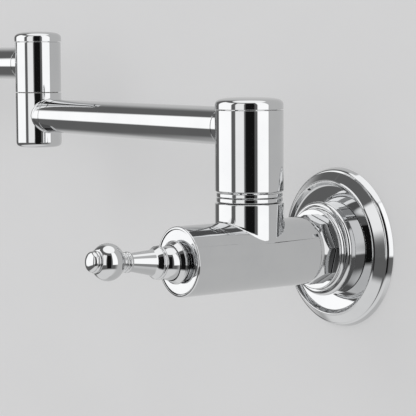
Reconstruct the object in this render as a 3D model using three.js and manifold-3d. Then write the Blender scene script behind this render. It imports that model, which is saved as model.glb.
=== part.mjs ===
// Wall mounted pot filler with a double jointed arm, in millimetres.
// The origin is where the inlet axis meets the wall. +Z is up, the wall is the plane y = 0,
// and the tap stands out from it towards -Y. The two arms reach along the wall towards -X.
import * as THREE from 'three';
import { mergeVertices } from 'three/addons/utils/BufferGeometryUtils.js';
import Module from 'manifold-3d';

const wasm = await Module();
wasm.setup();

// ---- Driving dimensions -------------------------------------------------------------------

const fitGap = 0.3; // clearance that separate pieces keep to each other
const coarse = 12; // flats round a small hidden piece
const medium = 16; // flats round a hub, tube or lever
const fine = 24; // flats round the widest pieces

// Wall flange, seen from the wall outwards
const flangeRadius = 38.2;
const flangeEdgeRadius = 37.1;
const flangeSideHeight = 3;
const flangeRimRadius = 31.7;
const flangeRimHeight = 7.7;
const flangeDishHeight = 3.6;
const flangeSheet = 1.6;
const flangeHoleRadius = 17.5;
const gasketThickness = 1.3;
const gasketWidth = 2.1;
const collarRadius = 22.4;
const collarTop = 14.9;
const thrustRingRadius = 19.1;
const thrustRingThickness = 1.3;

// Inlet adapter and union nut
const inletThreadRadius = 9.3; // female half inch pipe thread
const inletThreadDepth = 13;
const adapterRadius = 11.9;
const adapterStart = 0.5; // distance from the wall
const adapterLipRadius = 14.2;
const adapterLipThickness = 1.4;
const adapterWaterRadius = 6.5;
const nutCornerRadius = 18.4;
const nutSides = 8;
const nutTurn = 6.5; // degrees that the nut's first corner lies above the horizontal
const nutLipThickness = 1.2;
const nutSideHeight = 3.9;
const nutFrontRadius = 16.5;
const washerThickness = 1.5;

// Valve barrels. The wall valve and the outlet valve share one size of barrel.
const barrelRadius = 16;
const barrelRear = 24.6; // distance from the wall
const barrelFace = 95.6; // distance from the wall
const lipChamfer = 0.8;
const lipWidth = 1.1;
const spigotRadius = 14.3;
const seatRadius = 13.2;
const seatDepth = 22;
const bonnetSeatDepth = 2.9;
const passageRadius = 2.6;
const inletPortHeight = 0.8; // above the barrel's axis, covered by the moving disc when shut
const outletPortHeight = 7.8;
const rearBoreDepth = 12;

// Shoulder: the vertical socket on the barrel and the hub that turns on it
const shoulderDistance = 53.6; // distance from the wall
const shoulderOffset = 1.7; // how far the socket stands to the arms' side of the barrel's axis
const socketRadius = 15.9;
const socketTop = 24.4;
const socketRound = 0.8;
const socketBoreRadius = 9.3;
const socketBoreBottom = 5.1;
const neckRadius = 15.25;
const neckRingHeight = 2.1;
const shoulderRadius = 15.8;
const shoulderTop = 66.9;
const shoulderCapHeight = 5.6;
const shoulderJournal = 8.4;

// Arms
const armTubeRadius = 9;
const armTubeWall = 1.25;
const stubReach = 3; // how far a stub stands out of its hub
const spigotLength = 8;
const portRadius = 3.2;
const armOneLength = 205; // shoulder axis to elbow axis
const armOneHeight = 58.8;
const armOneLean = 3; // degrees that arm one leans towards the wall
const armTwoLength = 240; // elbow axis to outlet barrel
const armTwoHeight = 87.6;
const elbowBend = 0; // degrees that arm two turns back out into the room

// Elbow
const elbowRadius = 12.7;
const elbowBottom = 41.2;
const elbowSeam = 71.5;
const elbowWearThickness = 0.6;
const elbowTop = 99.3;
const elbowCapHeight = 5.6;
const elbowCapRadius = 13;
const elbowJournal = 6.9;
const elbowFloor = 4.5;

// Lever: distances are measured forward from the barrel's front face
const leverPivot = 4;
const leverRest = 5; // degrees above the barrel's axis with the valve shut
const pivotBallRadius = 7.9;
const rosetteRadius = 9.95;
const rosetteBaseRadius = 8.7;
const rosetteFront = 3.5;
const rosetteFlangeThickness = 1.6;
const stemRadius = 2.1;
const stemTipRadius = 2.6;
const stemTipReach = 11; // behind the pivot
const shankRingRadius = 7.75;
const shankStart = 10.3;
const shankEnd = 31.2;
const coneBaseRadius = 6.6;
const coneTipRadius = 4.1;
const neckBeadRadius = 4.6;
const knobCentre = 37.3;
const knobRadius = 8.3;
const knobHalfLength = 6.2;
const finialRadius = 4.9;
const finialLength = 3.7;
const studRadius = 3;
const leverBoltRadius = 2;

// Cartridge behind the lever
const cartridgeRadius = 12.9;
const cartridgeCoverFront = -4;
const cartridgeCoverThickness = 2.1;
const coverHoleRadius = 9;
const cartridgeWall = 1.2;
const carrierRadius = 5.7;
const carrierLength = 7.2;
const discThickness = 2.8;
const discRadius = 11.3;
const portSealThickness = 1;

// Outlet
const outletFace = 36; // forward from arm two's axis
const outletRear = 18.5;
const bossRadius = 12;
const bossBottom = -24;
const spoutRadius = 9;
const spoutLength = 32;
const spoutSpigotRadius = 7;
const spoutSpigotLength = 8;
const spoutThread = 6.6;
const spoutWaterRadius = 5;
const aeratorRadius = 11.6;
const aeratorHeight = 11.6;
const aeratorMouth = 7.8;
const insertRadius = 8.1;
const insertThickness = 3.2;

// ---- Materials ----------------------------------------------------------------------------

function finish(color, metalness, roughness) {
  return new THREE.MeshStandardMaterial({ color, metalness, roughness });
}

const chrome = finish(0xd9dbdd, 1, 0.05);
const rawBrass = finish(0xb58a45, 1, 0.35);
const blackRubber = finish(0x1b1b1c, 0, 0.75);
const whitePlastic = finish(0xd8d6cf, 0, 0.45);
const ceramic = finish(0xece7dc, 0, 0.2);
const steel = finish(0x9fa3a8, 1, 0.3);

// ---- Shapes -------------------------------------------------------------------------------

const axisTurns = {
  front: new THREE.Matrix4().makeRotationX(Math.PI), // the outline's height runs along -Y
  up: new THREE.Matrix4().makeRotationX(Math.PI / 2), // along +Z
  left: new THREE.Matrix4().makeRotationZ(Math.PI / 2), // along -X
};

// Turns an outline of [radius, height] points round an axis. A solid outline starts and ends on
// the axis, and a ring's outline closes on itself. Outlines run up the outside, down the inside.
function turned(outline, axis, flats = medium) {
  const points = outline.map(([radius, height]) => new THREE.Vector2(radius, height));
  if (outline[0][0] > 0) {
    points.push(points[0].clone());
  }
  const geometry = new THREE.LatheGeometry(points, flats);
  geometry.applyMatrix4(axisTurns[axis]);
  return geometry;
}

function ringOutline(inner, outer, low, high) {
  return [
    [inner, low],
    [outer, low],
    [outer, high],
    [inner, high],
  ];
}

function rod(radius, low, high, axis, flats = coarse) {
  return turned(
    [
      [0, low],
      [radius, low],
      [radius, high],
      [0, high],
    ],
    axis,
    flats,
  );
}

// Points of an arc in an outline, angles in degrees from the radial direction.
function arc(centreRadius, centreHeight, radius, from, to, steps) {
  const points = [];
  for (let step = 0; step <= steps; step += 1) {
    const angle = THREE.MathUtils.degToRad(from + ((to - from) * step) / steps);
    points.push([centreRadius + radius * Math.cos(angle), centreHeight + radius * Math.sin(angle)]);
  }
  return points;
}

// Seal of round section, as a closed ring.
function seal(ringRadius, sectionRadius, height, axis, flats = coarse) {
  return turned(arc(ringRadius, height, sectionRadius, 0, 300, 5), axis, flats);
}

function moved(geometry, x, y, z) {
  return geometry.clone().translate(x, y, z);
}

// ---- Cutting and joining ------------------------------------------------------------------

function toSolid(geometry) {
  const bare = geometry.clone();
  bare.deleteAttribute('normal');
  bare.deleteAttribute('uv');
  const merged = mergeVertices(bare, 1e-5);
  const triVerts = [];
  const index = merged.index.array;
  for (let corner = 0; corner < index.length; corner += 3) {
    const [a, b, c] = [index[corner], index[corner + 1], index[corner + 2]];
    if (a !== b && b !== c && c !== a) {
      triVerts.push(a, b, c);
    }
  }
  const mesh = new wasm.Mesh({
    numProp: 3,
    vertProperties: new Float32Array(merged.attributes.position.array),
    triVerts: new Uint32Array(triVerts),
  });
  return new wasm.Manifold(mesh);
}

function toGeometry(solid) {
  const mesh = solid.getMesh();
  const geometry = new THREE.BufferGeometry();
  geometry.setAttribute('position', new THREE.BufferAttribute(mesh.vertProperties, 3));
  geometry.setIndex(new THREE.BufferAttribute(mesh.triVerts, 1));
  geometry.computeVertexNormals();
  return geometry;
}

// Joins the added shapes, then cuts the removed ones away.
function carved(added, removed) {
  let solid = toSolid(added[0]);
  for (const shape of added.slice(1)) {
    solid = solid.add(toSolid(shape));
  }
  for (const shape of removed) {
    solid = solid.subtract(toSolid(shape));
  }
  return toGeometry(solid);
}

function addPiece(parent, name, geometry, material) {
  const piece = new THREE.Mesh(geometry, material);
  piece.name = name;
  parent.add(piece);
  return piece;
}

function addFrame(parent, x, y, z) {
  const frame = new THREE.Group();
  frame.position.set(x, y, z);
  parent.add(frame);
  return frame;
}

// ---- Wall flange and union ----------------------------------------------------------------

const nutRear = collarTop + fitGap + thrustRingThickness + fitGap;
const adapterLip = nutRear + nutLipThickness + fitGap;
const washerStart = adapterLip + adapterLipThickness + fitGap;
const spigotStart = washerStart + washerThickness + fitGap;

function escutcheonShape() {
  const ledge = gasketThickness + fitGap;
  const landHeight = flangeDishHeight - flangeSheet;
  const lip = flangeRadius - 1;
  return turned(
    [
      [lip, fitGap],
      [flangeRadius, fitGap],
      [flangeEdgeRadius + 0.3, flangeSideHeight - 0.7],
      [flangeEdgeRadius - 0.2, flangeSideHeight + 0.3],
      [flangeEdgeRadius - 0.9, flangeSideHeight + 0.7],
      [flangeRimRadius + 1.3, flangeRimHeight - 1.2],
      [flangeRimRadius + 0.7, flangeRimHeight - 0.4],
      [flangeRimRadius, flangeRimHeight],
      [flangeRimRadius - 0.8, flangeRimHeight - 0.2],
      [flangeRimRadius - 2.2, flangeRimHeight - 2.1],
      [flangeRimRadius - 4.2, flangeDishHeight + 0.6],
      [flangeRimRadius - 6.5, flangeDishHeight],
      [flangeHoleRadius, flangeDishHeight],
      [flangeHoleRadius, landHeight],
      [flangeRimRadius - 6, landHeight],
      [flangeRimRadius - 3.2, landHeight + 1.1],
      [flangeRimRadius - 0.9, flangeRimHeight - 2.4],
      [flangeRimRadius + 0.3, flangeRimHeight - 2],
      [lip - 1.6, ledge + 0.9],
      [lip - 1.6, ledge],
      [lip, ledge],
    ],
    'front',
    fine,
  );
}

function collarShape() {
  const bore = adapterRadius + fitGap;
  const low = flangeDishHeight + fitGap;
  return turned(
    [
      [bore, low],
      [collarRadius - 1, low],
      [collarRadius - 0.7, low + 2.5],
      [collarRadius - 0.2, low + 4.6],
      ...arc(collarRadius - 3.2, collarTop - 3.7, 3.2, 12, 78, 4),
      [collarRadius - 3.2, collarTop],
      [bore, collarTop],
    ],
    'front',
    fine,
  );
}

// Octagonal body with a sloped front, cut from a turned blank by flats.
function nutShape() {
  const top = nutRear + nutSideHeight;
  const front = barrelRear - fitGap;
  const corner = THREE.MathUtils.degToRad(nutTurn);
  const prism = turned(
    [
      [0, nutRear],
      [nutCornerRadius, nutRear],
      [nutCornerRadius, top],
      [nutFrontRadius, front],
      [0, front],
    ],
    'front',
    nutSides,
  );
  prism.rotateY(-Math.PI / 2 - corner);
  const lipBore = rod(adapterRadius + fitGap, nutRear - 1, nutRear + 2, 'front', medium);
  const threadBore = rod(spigotRadius + fitGap, adapterLip - fitGap, front + 1, 'front', fine);
  return carved([prism], [lipBore, threadBore]);
}

function adapterShape() {
  const lipEnd = adapterLip + adapterLipThickness;
  const bottom = adapterStart + inletThreadDepth;
  return turned(
    [
      [inletThreadRadius, adapterStart],
      [adapterRadius, adapterStart],
      [adapterRadius, adapterLip],
      [adapterLipRadius, adapterLip],
      [adapterLipRadius, lipEnd],
      [adapterWaterRadius, lipEnd],
      [adapterWaterRadius, bottom + 1.5],
      [inletThreadRadius - 1, bottom],
      [inletThreadRadius, bottom],
    ],
    'front',
    medium,
  );
}

function addWallFlange(parent) {
  const gasketOuter = flangeRadius - 1 - fitGap;
  const gasket = ringOutline(gasketOuter - gasketWidth, gasketOuter, 0, gasketThickness);
  addPiece(parent, 'wall_gasket', turned(gasket, 'front', fine), blackRubber);
  addPiece(parent, 'escutcheon', escutcheonShape(), chrome);
  addPiece(parent, 'escutcheon_collar', collarShape(), chrome);
  const ringLow = collarTop + fitGap;
  const ringTop = ringLow + thrustRingThickness;
  const ring = ringOutline(adapterRadius + fitGap, thrustRingRadius, ringLow, ringTop);
  addPiece(parent, 'thrust_ring', turned(ring, 'front', medium), chrome);
  addPiece(parent, 'union_nut', nutShape(), chrome);
  addPiece(parent, 'inlet_adapter', adapterShape(), rawBrass);
  const washerEnd = washerStart + washerThickness;
  const washer = ringOutline(adapterWaterRadius, adapterLipRadius - 0.4, washerStart, washerEnd);
  addPiece(parent, 'union_washer', turned(washer, 'front', coarse), blackRubber);
}

// ---- Valve barrels ------------------------------------------------------------------------

// Bores of the front of a barrel, whose face is `face` forward of the frame's origin.
function frontBores(face) {
  const lipBore = barrelRadius - lipWidth;
  return [
    rod(lipBore, face - bonnetSeatDepth, face + 1, 'front', fine),
    rod(seatRadius, face - seatDepth, face + 1, 'front', medium),
  ];
}

function passage(height, from, to) {
  return moved(rod(passageRadius, from, to, 'front', 12), 0, 0, height);
}

function valveBodyShape() {
  const barrel = turned(
    [
      [0, spigotStart],
      [spigotRadius, spigotStart],
      [spigotRadius, barrelRear],
      [barrelRadius - 0.5, barrelRear],
      [barrelRadius, barrelRear + 0.5],
      [barrelRadius, barrelFace - lipChamfer],
      [barrelRadius - lipChamfer, barrelFace],
      [0, barrelFace],
    ],
    'front',
    fine,
  );
  const socket = turned(
    [
      [0, 0],
      [socketRadius, 0],
      [socketRadius, socketTop - socketRound],
      [socketRadius - 0.3 * socketRound, socketTop - 0.3 * socketRound],
      [socketRadius - socketRound, socketTop],
      [0, socketTop],
    ],
    'up',
    fine,
  );
  const seat = barrelFace - seatDepth;
  const rearEnd = spigotStart + rearBoreDepth;
  const socketBore = rod(socketBoreRadius, socketBoreBottom, socketTop + 1, 'up');
  return carved(
    [barrel, moved(socket, -shoulderOffset, -shoulderDistance, 0)],
    [
      ...frontBores(barrelFace),
      rod(adapterWaterRadius, spigotStart - 1, rearEnd, 'front'),
      passage(inletPortHeight, rearEnd - 3, seat + 1),
      passage(outletPortHeight, shoulderDistance, seat + 1),
      moved(socketBore, -shoulderOffset, -shoulderDistance, 0),
    ],
  );
}

// ---- Swivels ------------------------------------------------------------------------------

// Hollow pin that carries water up through a swivel: its foot, an optional flange, its journal
// with two seal grooves round a waist, and a slim top that the clip grips.
function spindleShape(spindle) {
  const { foot, footRadius, flange, journal, grooves, waist, journalTop, top, bore } = spindle;
  const outline = [
    [0, foot],
    [footRadius, foot],
    ...flange,
  ];
  const deep = journal - 1.4;
  const cuts = [grooves[0], waist, grooves[1]];
  outline.push([journal, cuts[0][0] - 1]);
  for (const [low, high] of cuts) {
    outline.push([journal, low], [deep, low], [deep, high], [journal, high]);
  }
  outline.push([journal, journalTop], [journal - 2.2, journalTop], [journal - 2.2, top], [0, top]);
  const cross = rod(bore * 0.55, -journal - 1, journal + 1, 'left', 10);
  const crossHeights = [...spindle.extraPorts, (waist[0] + waist[1]) / 2];
  const removed = crossHeights.map((height) => moved(cross, 0, 0, height));
  removed.push(rod(bore, spindle.boreBottom, waist[1], 'up', 12));
  return carved([turned(outline, 'up', coarse)], removed);
}

// Turned hub with a stub for its tube. `side` is -1 for a tube to the left, 1 to the right.
function hubShape(hub) {
  const { radius, tubeHeight, side, bores, blank } = hub;
  const reach = radius + stubReach;
  const spigot = armTubeRadius - armTubeWall - fitGap;
  const stub = turned(
    [
      [0, 2],
      [armTubeRadius, 2],
      [armTubeRadius, reach],
      [spigot, reach],
      [spigot, reach + spigotLength],
      [0, reach + spigotLength],
    ],
    'left',
    medium,
  );
  const port = rod(portRadius, radius - 6, reach + spigotLength + 1, 'left', 12);
  if (side > 0) {
    stub.rotateZ(Math.PI);
    port.rotateZ(Math.PI);
  }
  const clearance = turned(ringOutline(0.01, radius + fitGap, hub.top, hub.top + 20), 'up', medium);
  return carved(
    [turned(blank, 'up', fine), moved(stub, 0, 0, tubeHeight)],
    [
      moved(port, 0, 0, hub.portHeight),
      clearance,
      ...bores.map(([bore, low, high]) => rod(bore, low, high, 'up', medium)),
    ],
  );
}

function tubeShape(from, to) {
  return turned(ringOutline(armTubeRadius - armTubeWall, armTubeRadius, from, to), 'left', medium);
}

function capShape(radius, low, height, skirtRadius) {
  const ceiling = low + 1.4;
  return turned(
    [
      [0, ceiling],
      [skirtRadius - 1.2, ceiling],
      [skirtRadius - 1.2, low - 2],
      [skirtRadius, low - 2],
      [skirtRadius, low],
      [radius, low],
      [radius, low + 0.6 * height],
      [radius - 1.3, low + 0.8 * height],
      [radius * 0.55, low + 0.95 * height],
      [0, low + height],
    ],
    'up',
    medium,
  );
}

const neckTop = socketTop + 2 * (fitGap + neckRingHeight);
const shoulderBottom = neckTop + fitGap;
const shoulderJournalTop = 62.5;
const shoulderGrooves = [
  [48.2, 50.4],
  [60.1, 62.1],
];
const shoulderWaist = [52, 58.6];
const capSkirtInset = 3.2;

// Washer and clip on the slim top of a spindle, which keep the hub from lifting off.
function addRetainers(parent, prefix, journal, low, outer) {
  const inner = journal - 2.2 + fitGap;
  const washer = ringOutline(inner, outer, low, low + 0.9);
  addPiece(parent, `${prefix}_thrust_washer`, turned(washer, 'up', coarse), whitePlastic);
  const clip = ringOutline(inner, outer - 1.6, low + 0.9 + fitGap, low + 2.1 + fitGap);
  addPiece(parent, `${prefix}_clip`, turned(clip, 'up', coarse), steel);
}

function addSeals(parent, prefix, journal, grooves) {
  const section = 0.62;
  const ringRadius = journal - 1.4 + 0.15 + section;
  grooves.forEach(([low, high], index) => {
    const place = index === 0 ? 'lower' : 'upper';
    const ring = seal(ringRadius, section, (low + high) / 2, 'up');
    addPiece(parent, `${prefix}_${place}_seal`, ring, blackRubber);
  });
}

function addShoulderPin(parent) {
  const ringLow = socketTop + fitGap;
  const spindle = {
    foot: 13.2,
    footRadius: socketBoreRadius - fitGap,
    flange: [
      [socketBoreRadius - fitGap, ringLow],
      [neckRadius, ringLow],
      [neckRadius, ringLow + neckRingHeight],
      [shoulderJournal, ringLow + neckRingHeight],
    ],
    journal: shoulderJournal,
    grooves: shoulderGrooves,
    waist: shoulderWaist,
    journalTop: shoulderJournalTop,
    top: shoulderTop - 0.4,
    bore: 4.6,
    boreBottom: 12,
    extraPorts: [],
  };
  addPiece(parent, 'shoulder_spindle', spindleShape(spindle), chrome);
  const wearLow = ringLow + neckRingHeight + fitGap;
  const wear = ringOutline(shoulderJournal + fitGap, neckRadius, wearLow, wearLow + neckRingHeight);
  addPiece(parent, 'shoulder_wear_ring', turned(wear, 'up', medium), chrome);
  addSeals(parent, 'shoulder', shoulderJournal, shoulderGrooves);
  addRetainers(parent, 'shoulder', shoulderJournal, shoulderJournalTop + 2 * fitGap, 10.4);
}

function addArmOne(parent) {
  const skirt = shoulderRadius - capSkirtInset;
  const counterLow = shoulderJournalTop + fitGap;
  const hub = {
    radius: shoulderRadius,
    tubeHeight: armOneHeight,
    portHeight: (shoulderWaist[0] + shoulderWaist[1]) / 2,
    side: -1,
    top: shoulderTop,
    blank: [
      [0, shoulderBottom],
      [shoulderRadius - 1.2, shoulderBottom],
      [shoulderRadius - 0.3, shoulderBottom + 0.5],
      [shoulderRadius, shoulderBottom + 1.4],
      [shoulderRadius, shoulderTop],
      [0, shoulderTop],
    ],
    bores: [
      [shoulderJournal + fitGap, shoulderBottom - 1, shoulderTop + 1],
      [10.7, counterLow, shoulderTop + 1],
      [skirt + fitGap, shoulderTop - 2.3, shoulderTop + 1],
    ],
  };
  addPiece(parent, 'shoulder_hub', hubShape(hub), chrome);
  const cap = capShape(shoulderRadius, shoulderTop + fitGap, shoulderCapHeight, skirt);
  addPiece(parent, 'shoulder_cap', cap, chrome);
  const tubeStart = shoulderRadius + stubReach + fitGap;
  const tubeEnd = armOneLength - elbowRadius - stubReach - fitGap;
  const tube = addPiece(parent, 'arm_one_tube', tubeShape(tubeStart, tubeEnd), chrome);
  tube.position.z = armOneHeight;
}

const elbowUpperLow = elbowSeam + fitGap + elbowWearThickness / 2;
const elbowLowerTop = elbowSeam - fitGap - elbowWearThickness / 2;
const elbowJournalTop = 94;
const elbowGrooves = [
  [76.6, 78.6],
  [91.4, 93.4],
];
const elbowWaist = [82, 88.6];
const elbowPortLow = armOneHeight - 1.3;

function addElbowPin(parent) {
  const hub = {
    radius: elbowRadius,
    tubeHeight: armOneHeight,
    portHeight: elbowPortLow,
    side: 1,
    top: elbowLowerTop,
    blank: [
      [0, elbowBottom],
      [elbowRadius - 2.2, elbowBottom],
      [elbowRadius - 0.7, elbowBottom + 0.6],
      [elbowRadius, elbowBottom + 2],
      [elbowRadius, elbowLowerTop],
      [0, elbowLowerTop],
    ],
    bores: [[elbowJournal + fitGap, elbowBottom + elbowFloor, elbowLowerTop + 1]],
  };
  addPiece(parent, 'elbow_lower_hub', hubShape(hub), chrome);
  const foot = elbowBottom + elbowFloor + fitGap;
  const spindle = {
    foot,
    footRadius: elbowJournal,
    flange: [
      [elbowJournal, elbowPortLow - 3.4],
      [elbowJournal - 1.2, elbowPortLow - 3.4],
      [elbowJournal - 1.2, elbowPortLow + 3.4],
      [elbowJournal, elbowPortLow + 3.4],
    ],
    journal: elbowJournal,
    grooves: elbowGrooves,
    waist: elbowWaist,
    journalTop: elbowJournalTop,
    top: elbowTop - 1.6,
    bore: 3.8,
    boreBottom: elbowPortLow - 3,
    extraPorts: [elbowPortLow],
  };
  addPiece(parent, 'elbow_spindle', spindleShape(spindle), rawBrass);
  const wearLow = elbowSeam - elbowWearThickness / 2;
  const wear = ringOutline(elbowJournal + fitGap, elbowRadius - 0.8, wearLow, wearLow + elbowWearThickness);
  addPiece(parent, 'elbow_wear_ring', turned(wear, 'up', medium), whitePlastic);
  addSeals(parent, 'elbow', elbowJournal, elbowGrooves);
  addRetainers(parent, 'elbow', elbowJournal, elbowJournalTop + 2 * fitGap, 8.9);
}

function addArmTwo(parent) {
  const skirt = elbowRadius - 1.6;
  const hub = {
    radius: elbowRadius,
    tubeHeight: armTwoHeight,
    portHeight: (elbowWaist[0] + elbowWaist[1]) / 2,
    side: -1,
    top: elbowTop,
    blank: [
      [0, elbowUpperLow],
      [elbowRadius, elbowUpperLow],
      [elbowRadius, elbowTop],
      [0, elbowTop],
    ],
    bores: [
      [elbowJournal + fitGap, elbowUpperLow - 1, elbowTop + 1],
      [9.2, elbowJournalTop + fitGap, elbowTop + 1],
      [skirt + fitGap, elbowTop - 2.3, elbowTop + 1],
    ],
  };
  addPiece(parent, 'elbow_upper_hub', hubShape(hub), chrome);
  const cap = capShape(elbowCapRadius, elbowTop + fitGap, elbowCapHeight, skirt);
  addPiece(parent, 'elbow_cap', cap, chrome);
  const tubeStart = elbowRadius + stubReach + fitGap;
  const tubeEnd = armTwoLength - barrelRadius - stubReach - fitGap;
  const tube = addPiece(parent, 'arm_two_tube', tubeShape(tubeStart, tubeEnd), chrome);
  tube.position.z = armTwoHeight;
}

// ---- Cartridge and lever, in a frame on the centre of a barrel's front face -------------------

const bonnetFlange = -0.4;
const carrierFront = cartridgeCoverFront - cartridgeCoverThickness - 0.2;
const carrierRear = carrierFront - carrierLength;
const discFront = carrierRear - fitGap;
const discRear = discFront - discThickness;
const housingRear = -seatDepth + portSealThickness + 0.5;
const stemDrop = stemTipReach * Math.sin(THREE.MathUtils.degToRad(leverRest));

function bonnetShape() {
  const outer = barrelRadius - lipWidth - fitGap;
  const hole = rosetteBaseRadius + fitGap;
  const low = -bonnetSeatDepth + fitGap;
  return turned(
    [
      [hole, cartridgeCoverFront + fitGap],
      [cartridgeRadius, cartridgeCoverFront + fitGap],
      [cartridgeRadius, low],
      [outer, low],
      [outer, bonnetFlange],
      [hole, bonnetFlange],
    ],
    'front',
    fine,
  );
}

// Fixed ring with a hollow round seat, in which the lever's ball turns.
function rosetteShape() {
  const seat = pivotBallRadius + fitGap;
  const frontAngle = -THREE.MathUtils.radToDeg(Math.asin((leverPivot - rosetteFront + 0.6) / seat));
  const throat = 7;
  const rearAngle = -THREE.MathUtils.radToDeg(Math.acos(throat / seat));
  const flangeLow = rosetteFront - rosetteFlangeThickness;
  return turned(
    [
      [throat, cartridgeCoverFront + 1],
      [rosetteBaseRadius, cartridgeCoverFront + 1],
      [rosetteBaseRadius, flangeLow],
      [rosetteRadius - 0.2, flangeLow],
      [rosetteRadius, flangeLow + 0.3],
      [rosetteRadius, rosetteFront - 0.4],
      [rosetteRadius - 0.4, rosetteFront],
      [seat + 0.3, rosetteFront],
      ...arc(0, leverPivot, seat, frontAngle, rearAngle, 4),
    ],
    'front',
    medium,
  );
}

function addCartridge(parent, prefix) {
  addPiece(parent, `${prefix}_bonnet`, bonnetShape(), chrome);
  addPiece(parent, `${prefix}_rosette`, rosetteShape(), chrome);
  const coverRear = cartridgeCoverFront - cartridgeCoverThickness;
  const cover = ringOutline(coverHoleRadius, cartridgeRadius, coverRear, cartridgeCoverFront);
  addPiece(parent, `${prefix}_cartridge_cover`, turned(cover, 'front', coarse), whitePlastic);
  const cavity = cartridgeRadius - cartridgeWall;
  const housing = rod(cartridgeRadius, housingRear, coverRear - fitGap, 'front', coarse);
  const portHeights = [inletPortHeight, outletPortHeight];
  const ports = portHeights.map((height) => passage(height, -seatDepth, discFront + 1));
  const hollow = rod(cavity, discRear - fitGap, coverRear + 1, 'front', coarse);
  addPiece(parent, `${prefix}_cartridge_housing`, carved([housing], [hollow, ...ports]), whitePlastic);
  const disc = rod(discRadius, discRear, discFront, 'front', coarse);
  addPiece(parent, `${prefix}_fixed_disc`, carved([disc], ports), ceramic);
  const sealFront = housingRear - 0.2;
  const portSeal = rod(cartridgeRadius - 0.3, sealFront - portSealThickness, sealFront, 'front', coarse);
  addPiece(parent, `${prefix}_port_seal`, carved([portSeal], ports), blackRubber);
}

// Ceramic disc and its carrier. The stem's tip rides in its pocket, so it slides as the lever lifts.
function addMovingDisc(parent, prefix) {
  const pocket = stemTipRadius + fitGap;
  const carrier = addPiece(
    parent,
    `${prefix}_moving_disc`,
    turned(
      [
        [0, carrierRear],
        [carrierRadius, carrierRear],
        [carrierRadius, carrierFront],
        [pocket, carrierFront],
        [pocket, carrierRear + 2],
        [0, carrierRear + 2],
      ],
      'front',
      coarse,
    ),
    ceramic,
  );
  carrier.position.z = -stemDrop;
}

// The ball and its stem, in the lever's own frame with its origin at the pivot.
function leverPivotShape() {
  const stubAngle = THREE.MathUtils.radToDeg(Math.acos(studRadius / pivotBallRadius));
  const stemAngle = -THREE.MathUtils.radToDeg(Math.acos(stemRadius / pivotBallRadius));
  const studEnd = shankStart - leverPivot + 6;
  const tipAngle = THREE.MathUtils.radToDeg(Math.acos(stemRadius / stemTipRadius));
  return turned(
    [
      [0, -stemTipReach - stemTipRadius],
      ...arc(0, -stemTipReach, stemTipRadius, -60, tipAngle, 3),
      ...arc(0, 0, pivotBallRadius, stemAngle, stubAngle, 9),
      [studRadius, studEnd],
      [0, studEnd],
    ],
    'front',
    medium,
  );
}

function shankShape() {
  const low = shankStart - leverPivot;
  const high = shankEnd - leverPivot;
  const stud = studRadius + fitGap;
  const studEnd = low + 6 + fitGap;
  const bolt = leverBoltRadius;
  const hollow = pivotBallRadius + fitGap;
  const hollowStart = THREE.MathUtils.radToDeg(Math.acos(stud / hollow));
  const hollowEnd = THREE.MathUtils.radToDeg(Math.asin(low / hollow));
  return turned(
    [
      ...arc(0, 0, hollow, hollowStart, hollowEnd, 2),
      [shankRingRadius - 0.6, low],
      [shankRingRadius, low + 0.6],
      [shankRingRadius - 0.4, low + 1.3],
      [coneBaseRadius + 0.3, low + 1.8],
      [coneBaseRadius - 0.35, low + 4.5],
      [coneTipRadius, high - 4.4],
      [neckBeadRadius, high - 3.6],
      [neckBeadRadius, high - 2.9],
      [coneTipRadius, high - 2.3],
      [neckBeadRadius - 0.3, high - 1.4],
      [coneTipRadius - 0.2, high],
      [bolt, high],
      [bolt, studEnd],
      [stud, studEnd],
    ],
    'front',
    medium,
  );
}

const knobStart = shankEnd + fitGap - leverPivot;
const knobFlatRadius = 3.2;

// Pressed-round knob with a bolt hole along its axis.
function knobShape() {
  const centre = knobCentre - leverPivot;
  const hole = leverBoltRadius + fitGap;
  const outline = [[hole, knobStart]];
  for (const point of arc(0, 0, 1, -64, 68, 9)) {
    outline.push([knobRadius * point[0], centre + knobHalfLength * point[1]]);
  }
  outline.push([hole, centre + knobHalfLength * Math.sin(THREE.MathUtils.degToRad(68))]);
  return turned(outline, 'front', medium);
}

function finialShape() {
  const low = knobCentre - leverPivot + knobHalfLength + fitGap;
  const high = low + finialLength;
  const boltEnd = shankStart - leverPivot + 6 + fitGap + 1;
  return turned(
    [
      [0, boltEnd],
      [leverBoltRadius - fitGap, boltEnd],
      [leverBoltRadius - fitGap, low],
      [knobFlatRadius - 0.4, low],
      [knobFlatRadius - 0.4, low + 0.5],
      [finialRadius - 0.5, low + 0.8],
      [finialRadius, low + 1.5],
      [finialRadius - 0.3, low + 2.2],
      [finialRadius - 1.2, high - 0.9],
      [finialRadius - 3, high - 0.15],
      [0, high],
    ],
    'front',
    medium,
  );
}

function addLever(parent, prefix) {
  const lever = addFrame(parent, 0, -leverPivot, 0);
  lever.rotation.x = THREE.MathUtils.degToRad(-leverRest);
  addPiece(lever, `${prefix}_lever_pivot`, leverPivotShape(), chrome);
  addPiece(lever, `${prefix}_lever_shank`, shankShape(), chrome);
  addPiece(lever, `${prefix}_lever_knob`, knobShape(), chrome);
  addPiece(lever, `${prefix}_lever_finial`, finialShape(), chrome);
}

function addValveFront(parent, prefix) {
  addCartridge(parent, prefix);
  addMovingDisc(parent, prefix);
  addLever(parent, prefix);
}

// ---- Outlet, in a frame on arm two's axis above the spout ----------------------------------

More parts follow.
